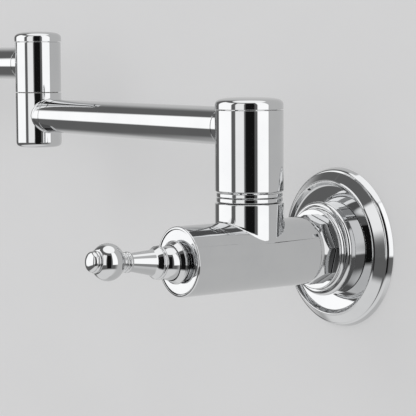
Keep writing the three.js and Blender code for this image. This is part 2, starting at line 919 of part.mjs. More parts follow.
function outletBodyShape() {
  const domeRadius = barrelRadius - 4;
  const dome = arc(0, -outletRear + domeRadius, domeRadius, -75, -50, 2);
  const barrel = turned(
    [
      [0, -outletRear],
      ...dome.map(([r, h]) => [r * 1.1, h]),
      [barrelRadius - 1.4, -outletRear + 6.2],
      [barrelRadius, -outletRear + 10],
      [barrelRadius, outletFace - lipChamfer],
      [barrelRadius - lipChamfer, outletFace],
      [0, outletFace],
    ],
    'front',
    fine,
  );
  const boss = turned(
    [
      [0, bossBottom],
      [bossRadius - 0.8, bossBottom],
      [bossRadius, bossBottom + 0.8],
      [bossRadius, -6],
      [0, -6],
    ],
    'up',
    medium,
  );
  const reach = barrelRadius + stubReach;
  const spigot = armTubeRadius - armTubeWall - fitGap;
  const stub = turned(
    [
      [0, 2],
      [armTubeRadius, 2],
      [armTubeRadius, reach],
      [spigot, reach],
      [spigot, reach + spigotLength],
      [0, reach + spigotLength],
    ],
    'left',
    medium,
  );
  const port = rod(portRadius, 0, reach + spigotLength + 1, 'left', 12);
  const seat = outletFace - seatDepth;
  const spigotTop = bossBottom + spoutSpigotLength + 2 * fitGap;
  const chamberRadius = 5;
  return carved(
    [barrel, boss, stub.rotateZ(Math.PI)],
    [
      ...frontBores(outletFace),
      port.rotateZ(Math.PI),
      rod(chamberRadius, -6, 4, 'front', coarse),
      passage(inletPortHeight, 0, seat + 1),
      passage(outletPortHeight, -2, seat + 1),
      rod(spoutWaterRadius, bossBottom - 1, -7.5, 'up'),
      rod(spoutSpigotRadius + fitGap, bossBottom - 1, spigotTop, 'up', medium),
    ],
  );
}

const spoutTop = bossBottom - fitGap;
const spoutBottom = spoutTop - spoutLength;
const aeratorTop = spoutBottom + 0.1;
const aeratorBottom = aeratorTop - aeratorHeight;
const insertTop = spoutBottom - spoutThread - fitGap;

function spoutShape() {
  const threadRadius = spoutRadius - 0.9;
  return turned(
    [
      [spoutWaterRadius + 1, spoutBottom - spoutThread],
      [threadRadius, spoutBottom - spoutThread],
      [threadRadius, spoutBottom + fitGap],
      [spoutRadius, spoutBottom + fitGap + 0.1],
      [spoutRadius, spoutTop - 3.6],
      [spoutRadius + 1.7, spoutTop - 3],
      [spoutRadius + 2.3, spoutTop - 1.8],
      [spoutRadius + 1.7, spoutTop - 0.6],
      [spoutRadius, spoutTop],
      [spoutSpigotRadius, spoutTop],
      [spoutSpigotRadius, spoutTop + spoutSpigotLength],
      [spoutWaterRadius, spoutTop + spoutSpigotLength],
      [spoutWaterRadius, spoutTop - 2],
      [spoutRadius - armTubeWall - 0.4, spoutTop - 4],
      [spoutRadius - armTubeWall - 0.4, spoutBottom + 2],
      [spoutWaterRadius + 1, spoutBottom],
    ],
    'up',
    medium,
  );
}

function aeratorShape() {
  const thread = spoutRadius - 0.9 + fitGap;
  const shelf = insertTop - insertThickness - fitGap;
  return turned(
    [
      [aeratorMouth - 0.6, aeratorBottom],
      [aeratorRadius - 2.4, aeratorBottom],
      [aeratorRadius - 1.6, aeratorBottom + 0.8],
      [aeratorRadius - 1.9, aeratorBottom + 2.4],
      [aeratorRadius - 1.1, aeratorBottom + 4.4],
      [aeratorRadius - 0.2, aeratorTop - 4.6],
      [aeratorRadius, aeratorTop - 2.2],
      [aeratorRadius - 0.5, aeratorTop - 0.6],
      [aeratorRadius - 1.1, aeratorTop],
      [thread, aeratorTop],
      [thread, shelf],
      [aeratorMouth - 0.6, shelf],
    ],
    'up',
    medium,
  );
}

// Plastic flow straightener with a ring of round jets and one in the middle.
function insertShape() {
  const disc = rod(insertRadius, insertTop - insertThickness, insertTop, 'up', coarse);
  const jet = rod(1.05, insertTop - insertThickness - 1, insertTop + 1, 'up', 8);
  const jets = [jet];
  const jetCircle = 4.2;
  for (let index = 0; index < 8; index += 1) {
    const angle = (index * Math.PI) / 4;
    jets.push(moved(jet, jetCircle * Math.cos(angle), jetCircle * Math.sin(angle), 0));
  }
  return carved([disc], jets);
}

function addOutlet(parent) {
  addPiece(parent, 'outlet_body', outletBodyShape(), chrome);
  addPiece(parent, 'outlet_spout', spoutShape(), chrome);
  addPiece(parent, 'aerator_housing', aeratorShape(), chrome);
  addPiece(parent, 'aerator_insert', insertShape(), whitePlastic);
  const front = addFrame(parent, 0, -outletFace, 0);
  addValveFront(front, 'outlet');
}

// ---- Assembly -----------------------------------------------------------------------------

const potFiller = new THREE.Group();
addWallFlange(potFiller);
addPiece(potFiller, 'valve_body', valveBodyShape(), chrome);
const wallFront = addFrame(potFiller, 0, -barrelFace, 0);
addValveFront(wallFront, 'wall');

const shoulder = addFrame(potFiller, -shoulderOffset, -shoulderDistance, 0);
addShoulderPin(shoulder);
const armOne = addFrame(shoulder, 0, 0, 0);
armOne.rotation.z = THREE.MathUtils.degToRad(-armOneLean);
addArmOne(armOne);

const elbow = addFrame(armOne, -armOneLength, 0, 0);
addElbowPin(elbow);
const armTwo = addFrame(elbow, 0, 0, 0);
armTwo.rotation.z = THREE.MathUtils.degToRad(elbowBend);
addArmTwo(armTwo);

const outlet = addFrame(armTwo, -armTwoLength, 0, armTwoHeight);
addOutlet(outlet);

export default potFiller;
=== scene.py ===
"""Looks of a wall mounted pot filler: turned, polished and chromed pieces on a plain wall.

Lengths in the outlines are millimetres. An outline is a list of (radius, height) or
(radius, height, rounding) points; it is spun round its own axis and set in its place.
"""

import math

import bmesh
import bpy
from mathutils import Matrix, Vector


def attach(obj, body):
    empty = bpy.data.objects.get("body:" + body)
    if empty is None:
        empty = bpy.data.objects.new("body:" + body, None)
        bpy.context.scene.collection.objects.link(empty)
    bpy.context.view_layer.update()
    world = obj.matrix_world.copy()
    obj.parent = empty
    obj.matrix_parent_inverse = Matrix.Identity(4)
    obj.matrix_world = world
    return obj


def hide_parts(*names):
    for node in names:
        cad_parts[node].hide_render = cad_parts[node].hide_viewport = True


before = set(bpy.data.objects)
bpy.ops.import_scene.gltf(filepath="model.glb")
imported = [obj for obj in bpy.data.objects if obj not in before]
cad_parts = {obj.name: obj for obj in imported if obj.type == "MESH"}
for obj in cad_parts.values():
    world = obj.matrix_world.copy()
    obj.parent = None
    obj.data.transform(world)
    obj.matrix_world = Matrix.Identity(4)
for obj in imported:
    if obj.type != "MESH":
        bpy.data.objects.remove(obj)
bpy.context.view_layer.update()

MM = 0.001
FINE_TURN = 160  # steps round a wide turned piece
TURN = 112  # steps round a slim turned piece
CORNER_STEPS = 4  # facets in a rounded corner
SHARP = math.radians(38)

# ---- Places of the pieces -----------------------------------------------------------------

SHOULDER = 53.6
SOCKET_OFFSET = 1.7  # the socket stands this far to the arms' side
BARREL_FACE = 95.6
ARM_ONE, ARM_TWO = 205.0, 240.0
ARM_LEAN = math.radians(3)
TUBE_ONE_Z, TUBE_TWO_Z = 58.8, 87.6
OUTLET_FACE = 36.0
LEVER_PIVOT = 4.0  # centre of the lever's ball in front of the barrel's face
LEVER_REST = math.radians(5)
BARREL_RADIUS = 16.0
SOCKET_RADIUS = 15.9
SHOULDER_RADIUS = 15.8
ELBOW_RADIUS = 12.7
TUBE_RADIUS = 9.0
BALL_RADIUS, SEAT_RADIUS = 7.9, 8.2
INLET_PORT_Z, OUTLET_PORT_Z = 0.8, 7.8  # above the barrel's axis
PORT_BORE, ARM_BORE = 2.6, 3.2  # radii of the waterways

FRONT = Matrix.Rotation(math.radians(90), 4, "X")  # outline heights run along -Y
LEFT = Matrix.Rotation(math.radians(-90), 4, "Y")  # along -X
RIGHT = Matrix.Rotation(math.radians(90), 4, "Y")  # along +X


def at(x, y, z):
    """A move by millimetres."""
    return Matrix.Translation((x * MM, y * MM, z * MM))


WALL_FACE = at(0, -BARREL_FACE, 0)
SHOULDER_AXIS = at(-SOCKET_OFFSET, -SHOULDER, 0)
ARM_ONE_FRAME = SHOULDER_AXIS @ Matrix.Rotation(-ARM_LEAN, 4, "Z")
ELBOW_AXIS = ARM_ONE_FRAME @ at(-ARM_ONE, 0, 0)
OUTLET = ELBOW_AXIS @ at(-ARM_TWO, 0, TUBE_TWO_Z)
OUTLET_FRONT = OUTLET @ at(0, -OUTLET_FACE, 0)


def lever_frame(front):
    """The lever's own frame, at its pivot and tilted as at rest."""
    return front @ at(0, -LEVER_PIVOT, 0) @ Matrix.Rotation(-LEVER_REST, 4, "X")


# ---- Shaping ------------------------------------------------------------------------------


def arc(centre_radius, centre_height, radius, first, last, steps, squash=1.0):
    """Points of an arc in an outline, angles in degrees from the radial direction."""
    points = []
    for step in range(steps + 1):
        angle = math.radians(first + (last - first) * step / steps)
        points.append(
            (
                centre_radius + radius * math.cos(angle),
                centre_height + radius * squash * math.sin(angle),
            )
        )
    return points


def spun(outline, place, steps=FINE_TURN):
    """A closed turned shape. Corners with a rounding are rounded before the outline is spun."""
    mesh = bmesh.new()
    line = [mesh.verts.new((point[0] * MM, 0, point[1] * MM)) for point in outline]
    for first, second in zip(line, line[1:]):
        mesh.edges.new((first, second))
    if outline[0][0] > 0:
        mesh.edges.new((line[-1], line[0]))
    roundings = {}
    for vert, point in zip(line, outline):
        if len(point) > 2:
            roundings.setdefault(point[2], []).append(vert)
    for rounding, corners in roundings.items():
        bmesh.ops.bevel(
            mesh,
            geom=corners,
            offset=rounding * MM,
            offset_type="OFFSET",
            segments=CORNER_STEPS,
            profile=0.5,
            affect="VERTICES",
            material=-1,
        )
    bmesh.ops.spin(
        mesh,
        geom=mesh.verts[:] + mesh.edges[:],
        cent=(0, 0, 0),
        axis=(0, 0, 1),
        dvec=(0, 0, 0),
        angle=2 * math.pi,
        steps=steps,
        use_merge=True,
        use_duplicate=False,
    )
    bmesh.ops.remove_doubles(mesh, verts=mesh.verts[:], dist=1e-6)
    bmesh.ops.recalc_face_normals(mesh, faces=mesh.faces[:])
    mesh.transform(place)
    return mesh


def rod(radius, low, high, place, steps=TURN):
    """A plain solid cylinder."""
    return spun([(0, low), (radius, low), (radius, high), (0, high)], place, steps)


def soften(mesh):
    """Smooth faces, with a hard edge where the shape turns sharply."""
    for face in mesh.faces:
        face.smooth = True
    for edge in mesh.edges:
        if len(edge.link_faces) == 2 and edge.calc_face_angle() > SHARP:
            edge.smooth = False


def piece(node_name, mesh, body, slot="chrome"):
    """Makes the object, gives it its finish and says what it rides on and what it stands for."""
    name = "look_" + node_name
    soften(mesh)
    data = bpy.data.meshes.new(name)
    mesh.to_mesh(data)
    mesh.free()
    data.materials.append(BY_SLOT[slot])
    thing = bpy.data.objects.new(name, data)
    bpy.context.scene.collection.objects.link(thing)
    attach(thing, body)
    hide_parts(node_name)
    return thing


def even_normals(thing):
    """Keeps flats flat and long walls straight in the reflections beside small roundings."""
    evening = thing.modifiers.new("even_normals", "WEIGHTED_NORMAL")
    evening.mode = "FACE_AREA"
    evening.weight = 50
    evening.keep_sharp = True


def turned(node_name, outline, place, body, slot="chrome", steps=FINE_TURN):
    """A piece that is one turned shape."""
    even_normals(piece(node_name, spun(outline, place, steps), body, slot))


# ---- Joined shapes ------------------------------------------------------------------------


def as_object(mesh, name):
    """A helper object for the exact joining of shapes. It takes the mesh over."""
    data = bpy.data.meshes.new(name)
    mesh.to_mesh(data)
    mesh.free()
    thing = bpy.data.objects.new(name, data)
    bpy.context.scene.collection.objects.link(thing)
    return thing


def joined(added, removed=()):
    """One closed shape from the added ones, with the removed ones cut out of it."""
    blank = as_object(added[0], "blank")
    helpers = []
    steps = [("UNION", shape) for shape in added[1:]]
    steps += [("DIFFERENCE", shape) for shape in removed]
    for operation, shape in steps:
        helper = as_object(shape, "helper")
        helpers.append(helper)
        step = blank.modifiers.new("step", "BOOLEAN")
        step.operation = operation
        step.solver = "EXACT"
        step.object = helper
    depsgraph = bpy.context.evaluated_depsgraph_get()
    result = bpy.data.meshes.new_from_object(blank.evaluated_get(depsgraph))
    mesh = bmesh.new()
    mesh.from_mesh(result)
    for helper in [*helpers, blank]:
        data = helper.data
        bpy.data.objects.remove(helper)
        bpy.data.meshes.remove(data)
    bpy.data.meshes.remove(result)
    bmesh.ops.remove_doubles(mesh, verts=mesh.verts[:], dist=2e-7)
    return mesh


WALL_SLOPE = 0.02  # how far a face on a round wall may tip along its axis
WALL_REACH = 0.02 * MM  # and how far its corners may lie from the radius


class Wall:
    """A round wall of a joined shape: its axis, its radius and how to tell its faces."""

    def __init__(self, place, radius):
        self.origin = place.translation
        self.axis = (place.to_3x3() @ Vector((0, 0, 1))).normalized()
        self.radius = radius * MM

    def outward(self, point):
        """From the axis to the point, square to the axis."""
        offset = point - self.origin
        return offset - self.axis * offset.dot(self.axis)

    def holds(self, normal, points):
        """True for a face with this normal and these corners that lies on the wall."""
        if abs(normal.dot(self.axis)) > WALL_SLOPE:
            return False
        return all(abs(self.outward(point).length - self.radius) < WALL_REACH for point in points)


def blend_joint(mesh, first, second, width, steps=4):
    """Rounds the corner where two round walls meet."""

    def faces_on(wall):
        return {f for f in mesh.faces if wall.holds(f.normal, [v.co for v in f.verts])}

    first_faces = faces_on(first)
    second_faces = faces_on(second) - first_faces
    joint = []
    for edge in mesh.edges:
        if len(edge.link_faces) != 2:
            continue
        one, other = edge.link_faces
        for near, far in ((one, other), (other, one)):
            if near in first_faces and far in second_faces:
                joint.append(edge)
    bmesh.ops.bevel(
        mesh,
        geom=joint,
        offset=width * MM,
        offset_type="OFFSET",
        segments=steps,
        profile=0.5,
        affect="EDGES",
        clamp_overlap=False,
        material=-1,
    )


def true_walls(thing, walls):
    """Gives the corners on each round wall that wall's exact normal, so reflections run straight."""
    data = thing.data
    normals = [Vector(corner.vector) for corner in data.corner_normals]
    on_wall = {}
    for polygon in data.polygons:
        points = [data.vertices[v].co for v in polygon.vertices]
        for wall in walls:
            if wall.holds(polygon.normal, points):
                side = 1 if polygon.normal.dot(wall.outward(polygon.center)) > 0 else -1
                for corner in polygon.loop_indices:
                    vertex = data.loops[corner].vertex_index
                    normal = wall.outward(data.vertices[vertex].co).normalized() * side
                    normals[corner] = normal
                    on_wall.setdefault(vertex, []).append(normal)
                break
    for corner, loop in enumerate(data.loops):
        near = on_wall.get(loop.vertex_index)
        if near and normals[corner].dot(near[0]) > 0.8:
            normals[corner] = near[0] if len(near) < 2 else sum(near, Vector()).normalized()
    data.normals_split_custom_set([tuple(n) for n in normals])


# ---- Finishes -----------------------------------------------------------------------------


def node(tree, kind, **values):
    """A new shader node with its settings."""
    made = tree.nodes.new(kind)
    for key, value in values.items():
        setattr(made, key, value)
    return made


def handling_traces():
    """Group: faint polishing haze, small dried drops and hairlines, as masks from 0 to 1."""
    group = bpy.data.node_groups.new("handling_traces", "ShaderNodeTree")
    make = group.interface.new_socket
    make(name="Haze Scale", in_out="INPUT", socket_type="NodeSocketFloat")
    make(name="Drop Scale", in_out="INPUT", socket_type="NodeSocketFloat")
    make(name="Haze", in_out="OUTPUT", socket_type="NodeSocketFloat")
    make(name="Drops", in_out="OUTPUT", socket_type="NodeSocketFloat")
    make(name="Hairlines", in_out="OUTPUT", socket_type="NodeSocketFloat")
    start = node(group, "NodeGroupInput")
    end = node(group, "NodeGroupOutput")
    place = node(group, "ShaderNodeTexCoord")
    link = group.links.new
    haze = node(group, "ShaderNodeTexNoise")
    haze.inputs["Detail"].default_value = 5
    haze.inputs["Roughness"].default_value = 0.6
    link(place.outputs["Object"], haze.inputs["Vector"])
    link(start.outputs["Haze Scale"], haze.inputs["Scale"])
    spread = node(group, "ShaderNodeMapRange", interpolation_type="SMOOTHSTEP")
    spread.inputs["From Min"].default_value = 0.36
    spread.inputs["From Max"].default_value = 0.72
    link(haze.outputs["Fac"], spread.inputs["Value"])
    link(spread.outputs["Result"], end.inputs["Haze"])
    drops = node(group, "ShaderNodeTexVoronoi", feature="DISTANCE_TO_EDGE")
    drops.inputs["Randomness"].default_value = 1
    link(place.outputs["Object"], drops.inputs["Vector"])
    link(start.outputs["Drop Scale"], drops.inputs["Scale"])
    rim = node(group, "ShaderNodeMapRange", interpolation_type="SMOOTHSTEP")
    rim.inputs["From Min"].default_value = 0.015
    rim.inputs["From Max"].default_value = 0.09
    rim.inputs["To Min"].default_value = 1
    rim.inputs["To Max"].default_value = 0
    link(drops.outputs["Distance"], rim.inputs["Value"])
    link(rim.outputs["Result"], end.inputs["Drops"])
    stretch = node(group, "ShaderNodeMapping")
    stretch.inputs["Scale"].default_value = (1, 1, 14)
    link(place.outputs["Object"], stretch.inputs["Vector"])
    lines = node(group, "ShaderNodeTexNoise")
    lines.inputs["Scale"].default_value = 260
    lines.inputs["Detail"].default_value = 3
    link(stretch.outputs["Vector"], lines.inputs["Vector"])
    thin = node(group, "ShaderNodeMapRange", interpolation_type="SMOOTHSTEP")
    thin.inputs["From Min"].default_value = 0.58
    thin.inputs["From Max"].default_value = 0.74
    link(lines.outputs["Fac"], thin.inputs["Value"])
    link(thin.outputs["Result"], end.inputs["Hairlines"])
    return group


TRACES = handling_traces()


def finish(name, colour, tint, metallic, rough, relief, scales):
    """A finish: base colour towards a tint, roughness between two values, and a little relief.

    relief is its strength and its depth in metres, scales those of the haze and of the drops.
    """
    material = bpy.data.materials.new(name)
    material.use_nodes = True
    tree = material.node_tree
    surface = tree.nodes["Principled BSDF"]
    surface.inputs["Metallic"].default_value = metallic
    link = tree.links.new
    traces = node(tree, "ShaderNodeGroup", node_tree=TRACES)
    traces.inputs["Haze Scale"].default_value = scales[0]
    traces.inputs["Drop Scale"].default_value = scales[1]
    shade = node(tree, "ShaderNodeMix", data_type="RGBA")
    shade.inputs["A"].default_value = (*colour, 1)
    shade.inputs["B"].default_value = (*tint, 1)
    link(traces.outputs["Haze"], shade.inputs["Factor"])
    link(shade.outputs["Result"], surface.inputs["Base Color"])
    drops = node(tree, "ShaderNodeMath", operation="MULTIPLY_ADD")
    drops.inputs[1].default_value = 0.35
    link(traces.outputs["Drops"], drops.inputs[0])
    link(traces.outputs["Haze"], drops.inputs[2])
    gloss = node(tree, "ShaderNodeMapRange")
    gloss.inputs["To Min"].default_value = rough[0]
    gloss.inputs["To Max"].default_value = rough[1]
    link(drops.outputs["Value"], gloss.inputs["Value"])
    link(gloss.outputs["Result"], surface.inputs["Roughness"])
    bump = node(tree, "ShaderNodeBump")
    bump.inputs["Strength"].default_value = relief[0]
    bump.inputs["Distance"].default_value = relief[1]
    link(traces.outputs["Hairlines"], bump.inputs["Height"])
    link(bump.outputs["Normal"], surface.inputs["Normal"])
    return material


MIRROR = 0.68  # share of the light that bright chrome sends back

BY_SLOT = {
    "chrome": finish(
        "bright_chrome",
        (MIRROR, 0.685, 0.69),
        (0.65, 0.656, 0.665),
        metallic=1.0,
        rough=(0.015, 0.045),
        relief=(0.02, 0.00002),
        scales=(38, 240),
    ),
    "raw_brass": finish(
        "machined_brass",
        (0.70, 0.50, 0.22),
        (0.60, 0.41, 0.17),
        metallic=1.0,
        rough=(0.22, 0.42),
        relief=(0.25, 0.00006),
        scales=(90, 420),
    ),
    "rubber": finish(
        "black_rubber",
        (0.018, 0.018, 0.019),
        (0.035, 0.034, 0.033),
        metallic=0.0,
        rough=(0.55, 0.8),
        relief=(0.4, 0.00008),
        scales=(160, 500),
    ),
    "white_plastic": finish(
        "white_plastic",
        (0.74, 0.73, 0.70),
        (0.68, 0.67, 0.64),
        metallic=0.0,
        rough=(0.32, 0.5),
        relief=(0.15, 0.00004),
        scales=(120, 350),
    ),
    "ceramic": finish(
        "white_ceramic",
        (0.82, 0.80, 0.75),
        (0.76, 0.74, 0.69),
        metallic=0.0,
        rough=(0.08, 0.2),
        relief=(0.05, 0.00003),
        scales=(140, 420),
    ),
    "clip_steel": finish(
        "spring_steel",
        (0.52, 0.53, 0.55),
        (0.44, 0.45, 0.47),
        metallic=1.0,
        rough=(0.2, 0.38),
        relief=(0.2, 0.00005),
        scales=(150, 420),
    ),
}

# ---- Wall flange and nut ------------------------------------------------------------------


def make_flange():
    """Flange with its bevel, raised lip and dish, the collar in the dish and the ring on it."""
    body = "wall_valve"
    outline = [
        (37.2, 0.3),
        (38.2, 0.3, 0.15),
        (37.45, 2.6, 0.5),
        (36.75, 3.35, 0.25),
        (36.2, 3.55, 0.15),
        (32.45, 6.95, 0.25),
        (32.1, 7.6, 0.3),
        (31.7, 7.7, 0.2),
        (31.3, 7.5, 0.3),
        (29.9, 5.25, 0.7),
        (21.6, 3.0, 0.2),
        (17.5, 3.0, 0.2),
        (17.5, 1.7),
        (24.2, 1.7, 1.5),
        (30.6, 3.7, 0.6),
        (31.8, 5.7, 0.3),
        (35.4, 2.3),
        (35.4, 1.6),
        (37.2, 1.6),
    ]
    turned("escutcheon", outline, FRONT, body)
    collar = [
        (12.2, 3.2),
        (22.0, 3.25, 0.2),
        (21.2, 8.7, 0.3),
        (22.3, 9.3, 0.5),
        *arc(20.75, 12.15, 1.65, -20, 88, 12),
        (20.5, 13.6, 0.3),
        (19.6, 13.3, 0.4),
        (18.9, 14.0, 0.3),
        (18.7, 14.9, 0.1),
        (12.2, 14.9, 0.2),
    ]
    turned("escutcheon_collar", collar, FRONT, body)
    ring = [(12.2, 15.2), (19.1, 15.2, 0.4), (19.1, 16.5, 0.45), (12.2, 16.5, 0.2)]
    turned("thrust_ring", ring, FRONT, body)


def make_nut():
    """Eight sided union nut, its corners turned down to a cone at the front."""
    corner_radius, length, start = 16.6, 7.5, 16.8
    turn = Matrix.Rotation(math.radians(6.5), 3, "Z")
    nut = bmesh.new()
    bmesh.ops.create_circle(nut, cap_ends=True, segments=8, radius=corner_radius * MM)
    bmesh.ops.rotate(nut, verts=nut.verts[:], matrix=turn)
    grown = bmesh.ops.extrude_face_region(nut, geom=nut.faces[:])
    top = [item for item in grown["geom"] if isinstance(item, bmesh.types.BMVert)]
    bmesh.ops.translate(nut, verts=top, vec=(0, 0, length * MM))
    bmesh.ops.recalc_face_normals(nut, faces=nut.faces[:])
    edges = [edge for edge in nut.edges if edge.calc_face_angle(0) > 0.05]
    bmesh.ops.bevel(
        nut,
        geom=edges,
        offset=0.25 * MM,
        offset_type="OFFSET",
        segments=2,
        profile=0.5,
        affect="EDGES",
        material=-1,
    )
    nut.transform(FRONT @ at(0, 0, start))
    cone = [(14.8, 22.07), (19.0, 19.0), (19.0, 25), (14.8, 25)]
    bores = [rod(12.2, 15, 19, FRONT), rod(14.5, 18.0, 26, FRONT), spun(cone, FRONT)]
    even_normals(piece("union_nut", joined([nut], bores), "wall_valve"))


# ---- Wall valve ---------------------------------------------------------------------------


def front_bores(face, place):
    """Cutters for the room of the bonnet and of the cartridge, behind a barrel's face."""
    return [
        rod(14.9, face - 2.9, face + 1, place, FINE_TURN),
        rod(13.2, face - 22, face + 1, place),
    ]


def make_valve_body():
    """Barrel with the socket of the shoulder standing on it."""
    barrel_outline = [
        (0, 21.8),
        (14.3, 21.8, 0.3),
        (14.3, 24.6),
        (BARREL_RADIUS, 24.6, 0.5),
        (BARREL_RADIUS, BARREL_FACE, 0.8),
        (0, BARREL_FACE),
    ]
    socket_outline = [(0, 0), (SOCKET_RADIUS, 0), (SOCKET_RADIUS, 24.4, 0.7), (0, 24.4)]
    rear_end = 33.8  # of the bore from the inlet
    added = [spun(barrel_outline, FRONT), spun(socket_outline, SHOULDER_AXIS)]
    removed = [
        *front_bores(BARREL_FACE, FRONT),
        rod(6.5, 20.8, rear_end, FRONT, 48),
        rod(PORT_BORE, rear_end - 3, 74.6, at(0, 0, INLET_PORT_Z) @ FRONT, 32),
        rod(PORT_BORE, SHOULDER, 74.6, at(0, 0, OUTLET_PORT_Z) @ FRONT, 32),
        rod(9.3, 5.1, 25.4, SHOULDER_AXIS),
    ]
    mesh = joined(added, removed)
    barrel, socket = Wall(FRONT, BARREL_RADIUS), Wall(SHOULDER_AXIS, SOCKET_RADIUS)
    blend_joint(mesh, barrel, socket, 0.9)
    thing = piece("valve_body", mesh, "wall_valve")
    true_walls(thing, [barrel, socket])


def make_valve_front(prefix, place, body, lever_body):
    """Face plate, fixed rosette and the lever with its ball, shank, knob and finial."""
    front = place @ FRONT
    plate = [
        (9.0, -3.7),
        (12.9, -3.7),
        (12.9, -2.6),
        (14.6, -2.6, 0.2),
        (14.6, -0.4, 0.25),
        (9.0, -0.4, 0.15),
    ]
    turned(prefix + "_bonnet", plate, front, body)
    rosette = [
        (7.0, -3),
        (8.7, -3),
        (8.7, 1.2),
        (9.85, 1.2, 0.35),
        (9.85, 2.2, 0.3),
        (9.55, 2.35, 0.1),
        (8.35, 4.25, 0.1),
        *arc(0, LEVER_PIVOT, SEAT_RADIUS, 1.5, -31.4, 12),
    ]
    turned(prefix + "_rosette", rosette, front, body)
    make_lever(prefix, lever_frame(place) @ FRONT, lever_body)


def make_lever(prefix, place, body):
    """Ball, shank, knob and finial, turned round the lever's own line."""
    ball = [
        (0, -13.6),
        *arc(0, -11, 2.6, -75, 36.1, 10),
        *arc(0, 0, BALL_RADIUS, -74.6, 67.7, 44),
        (3, 12.3, 0.4),
        (0, 12.3),
    ]
    turned(prefix + "_lever_pivot", ball, place, body)
    shank = [
        *arc(0, 0, SEAT_RADIUS, 66.3, 48.5, 6),
        (6.9, 6.15, 0.15),
        (7.6, 6.25, 0.3),
        (7.6, 7.05, 0.35),
        (7.0, 7.4, 0.1),
        (7.1, 7.8, 0.15),
        (7.5, 8.2, 0.35),
        (5.75, 10.6, 0.5),
        (5.6, 11.6, 0.8),
        (3.95, 22.4, 0.25),
        (4.7, 22.8, 0.25),
        (4.7, 23.9, 0.3),
        (4.0, 24.3, 0.15),
        (4.45, 24.7, 0.25),
        (4.45, 25.5, 0.3),
        (3.7, 25.9, 0.2),
        (3.7, 26.5, 0.1),
        (2, 26.5),
        (2, 12.6),
        (3.3, 12.6),
    ]
    turned(prefix + "_lever_shank", shank, place, body)
    knob_radius, knob_half_length = 8.3, 7.4
    knob = [
        (2.3, 26.75),
        (3.75, 26.75, 0.1),
        *arc(0, 33.4, knob_radius, -62, 52, 44, squash=knob_half_length / knob_radius),
        (2.3, 39.2),
    ]
    turned(prefix + "_lever_knob", knob, place, body)
    finial = [
        (0, 13.6),
        (1.7, 13.6),
        (1.7, 39.4),
        (4.4, 39.4, 0.1),
        (5.0, 39.8, 0.35),
        (5.0, 40.6, 0.45),
        (4.45, 41.0, 0.1),
        (4.65, 41.2, 0.2),
        (4.55, 41.9, 0.6),
        (3.9, 42.75, 0.7),
        (2.5, 43.3, 0.8),
        (0, 43.5),
    ]
    turned(prefix + "_lever_finial", finial, place, body)


# ---- Swivels and arms ---------------------------------------------------------------------


def make_shoulder():
    """Post of the first arm, with its flange, and the ring in the neck above it."""
    spindle = [
        (0, 13.2),
        (9.0, 13.2, 0.3),
        (9.0, 24.7),
        (15.25, 24.7, 0.45),
        (15.25, 26.8, 0.35),
        (8.4, 26.8),
        (8.4, 48.2),
        (7.0, 48.2),
        (7.0, 50.4),
        (8.4, 50.4),
        (8.4, 60.1),
        (7.0, 60.1),
        (7.0, 62.1),
        (8.4, 62.1),
        (8.4, 62.5),
        (6.2, 62.5),
        (6.2, 66.5),
        (0, 66.5),
    ]
    turned("shoulder_spindle", spindle, SHOULDER_AXIS, "wall_valve")
    wear = [(8.7, 27.1), (15.25, 27.1, 0.35), (15.25, 28.95, 0.3), (8.7, 28.95)]
    turned("shoulder_wear_ring", wear, SHOULDER_AXIS, "wall_valve")


def stub_outline(reach):
    """Stub as wide as the tube, with a slimmer end that goes into it."""
    return [
        (0, 2),
        (TUBE_RADIUS, 2),
        (TUBE_RADIUS, reach, 0.22),
        (7.45, reach),
        (7.45, reach + 8, 0.3),
        (0, reach + 8),
    ]


def hub(node_name, radius, outline, tube_z, turn, bores, port_z, place, body):
    """A turned hub joined to the stub that carries its tube."""
    reach = radius + 3
    stub_place = place @ at(0, 0, tube_z) @ turn
    port_place = place @ at(0, 0, port_z) @ turn
    added = [spun(outline, place), spun(stub_outline(reach), stub_place)]
    removed = [rod(ARM_BORE, radius - 6, reach + 9, port_place, 48)]
    removed += [rod(bore, low, high, place) for bore, low, high in bores]
    mesh = joined(added, removed)
    walls = [Wall(place, radius), Wall(stub_place, TUBE_RADIUS)]
    blend_joint(mesh, *walls, 0.8)
    thing = piece(node_name, mesh, body)
    true_walls(thing, walls)


def cap(node_name, radius, low, height, skirt, place, body):
    """Shallow domed cap with a turned edge, on its skirt."""
    outline = [
        (0, low + 1.4),
        (skirt - 1.2, low + 1.4),
        (skirt - 1.2, low - 2),
        (skirt, low - 2, 0.2),
        (skirt, low),
        (radius, low, 0.2),
        (radius, low + 0.55 * height, 0.9),
        (radius - 1.5, low + 0.79 * height, 0.7),
        (radius * 0.72, low + 0.92 * height, 1.5),
        (radius * 0.38, low + 0.985 * height, 2.0),
        (0, low + height),
    ]
    turned(node_name, outline, place, body)


def tube(node_name, first, last, tube_z, place, body):
    """A straight tube along an arm."""
    outline = [
        (7.75, first),
        (TUBE_RADIUS, first, 0.22),
        (TUBE_RADIUS, last, 0.22),
        (7.75, last),
    ]
    turned(node_name, outline, place @ at(0, 0, tube_z) @ LEFT, body, steps=TURN)


